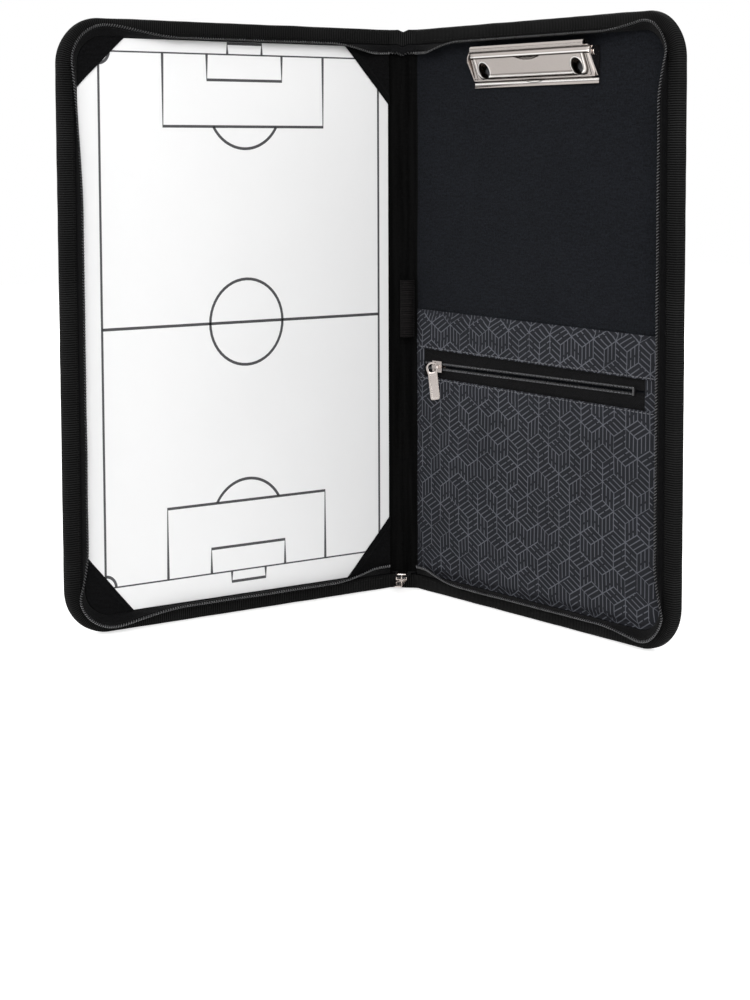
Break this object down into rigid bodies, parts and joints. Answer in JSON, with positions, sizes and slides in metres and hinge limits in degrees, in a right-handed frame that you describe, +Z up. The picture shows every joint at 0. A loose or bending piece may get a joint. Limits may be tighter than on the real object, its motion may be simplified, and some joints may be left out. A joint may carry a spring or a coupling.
{
  "type": "tactics folder",
  "caption": "Zip-round coach's folder standing open, with a tactics board in fabric corners, a lever clip, a zip pocket and an elastic pen loop on the soft spine.",
  "frame": {"origin": "on the ground under the middle of the spine, in the plane of its inner face", "axes": "+Z up the spine; +X along the back cover (clip and pocket) away from the spine; -Y along the front cover (board) away from the spine"},
  "size_m": [0.2477, 0.2473, 0.35],
  "materials": {
    "binding_tape": "grosgrain tape",
    "board_white": "smooth white",
    "dark_steel": "darkened steel",
    "elastic_band": "ribbed elastic",
    "lining_fabric": "plain woven lining",
    "nickel": "bright nickel plate",
    "pocket_print": "printed fabric",
    "shell_fabric": "woven polyester twill",
    "stiffener_board": "grey board",
    "webbing_weave": "patterned webbing",
    "zip_coil": "nylon coil",
    "zip_tape": "woven tape"
  },
  "bodies": {
    "back_cover": {"back_cover_binding": "binding_tape", "back_cover_lining": "lining_fabric", "back_cover_shell": "shell_fabric", "back_cover_stiffener": "stiffener_board", "back_cover_zip_coil": "zip_coil", "back_cover_zip_tape": "zip_tape", "clip_base": "nickel", "clip_rivet_fold_side": "dark_steel", "clip_rivet_outer_side": "dark_steel", "clip_rod": "nickel", "clip_spring": "dark_steel", "pocket_lower_panel": "pocket_print", "pocket_upper_band": "pocket_print", "pocket_zip_bottom_stop": "nickel", "pocket_zip_coil_lower": "zip_coil", "pocket_zip_coil_upper": "zip_coil", "pocket_zip_tab_fold": "pocket_print", "pocket_zip_tab_outer": "pocket_print", "pocket_zip_tape_lower": "zip_tape", "pocket_zip_tape_upper": "zip_tape", "pocket_zip_top_stop_lower": "nickel", "pocket_zip_top_stop_upper": "nickel"},
    "clip_lever": {"clip_lever": "nickel"},
    "front_cover": {"corner_pocket_foot_fold": "lining_fabric", "corner_pocket_foot_outer": "lining_fabric", "corner_pocket_top_fold": "lining_fabric", "corner_pocket_top_outer": "lining_fabric", "front_cover_binding": "binding_tape", "front_cover_lining": "lining_fabric", "front_cover_shell": "shell_fabric", "front_cover_stiffener": "stiffener_board", "front_cover_zip_coil": "zip_coil", "front_cover_zip_tape": "zip_tape", "front_ribbon": "webbing_weave", "front_webbing": "webbing_weave", "tactics_board": "board_white"},
    "spine": {"main_zip_end_coil_left": "zip_coil", "main_zip_end_coil_right": "zip_coil", "main_zip_end_stop": "nickel", "main_zip_end_tape": "zip_tape", "main_zip_slider": "nickel", "pen_loop": "elastic_band", "spine_binding_foot": "binding_tape", "spine_binding_top": "binding_tape", "spine_lining": "lining_fabric", "spine_shell": "shell_fabric", "spine_stiffener": "stiffener_board", "spine_zip_coil_top": "zip_coil", "spine_zip_tape_top": "zip_tape"},
    "main_zip_pull": {"main_zip_pull": "nickel"},
    "pocket_zip_pull": {"pocket_zip_pull": "nickel"},
    "pocket_zip_slider": {"pocket_zip_slider": "nickel"}
  },
  "joints": [
    {"name": "back_fold", "type": "hinge", "parent": "back_cover", "child": "spine", "pos_m": [0.00601, 0.00601, 0], "axis": [0, 0, 1], "range_deg": [-45, 45]},
    {"name": "front_fold", "type": "hinge", "parent": "spine", "child": "front_cover", "pos_m": [-0.00601, -0.00601, 0], "axis": [0, 0, 1], "range_deg": [-45, 45]},
    {"name": "clip_press", "type": "hinge", "parent": "back_cover", "child": "clip_lever", "pos_m": [0.11851, 0.00161, 0.3295], "axis": [-1, 0, 0], "range_deg": [0, 30], "stiffness_Nm_per_rad": 0.25, "springref_deg": -34.38, "deforming": ["clip_spring"]},
    {"name": "pocket_zip_run", "type": "slide", "parent": "back_cover", "child": "pocket_zip_slider", "axis": [1, 0, 0], "range_m": [-0.006, 0.166]},
    {"name": "pocket_pull_swing", "type": "hinge", "parent": "pocket_zip_slider", "child": "pocket_zip_pull", "pos_m": [0.02871, 0.00126, 0.143], "axis": [0, -1, 0], "range_deg": [-90, 20]},
    {"name": "main_pull_swing", "type": "hinge", "parent": "spine", "child": "main_zip_pull", "pos_m": [0.00813, -0.00813, 0.00705], "axis": [0, 0, 1], "range_deg": [-10, 10]}
  ]
}
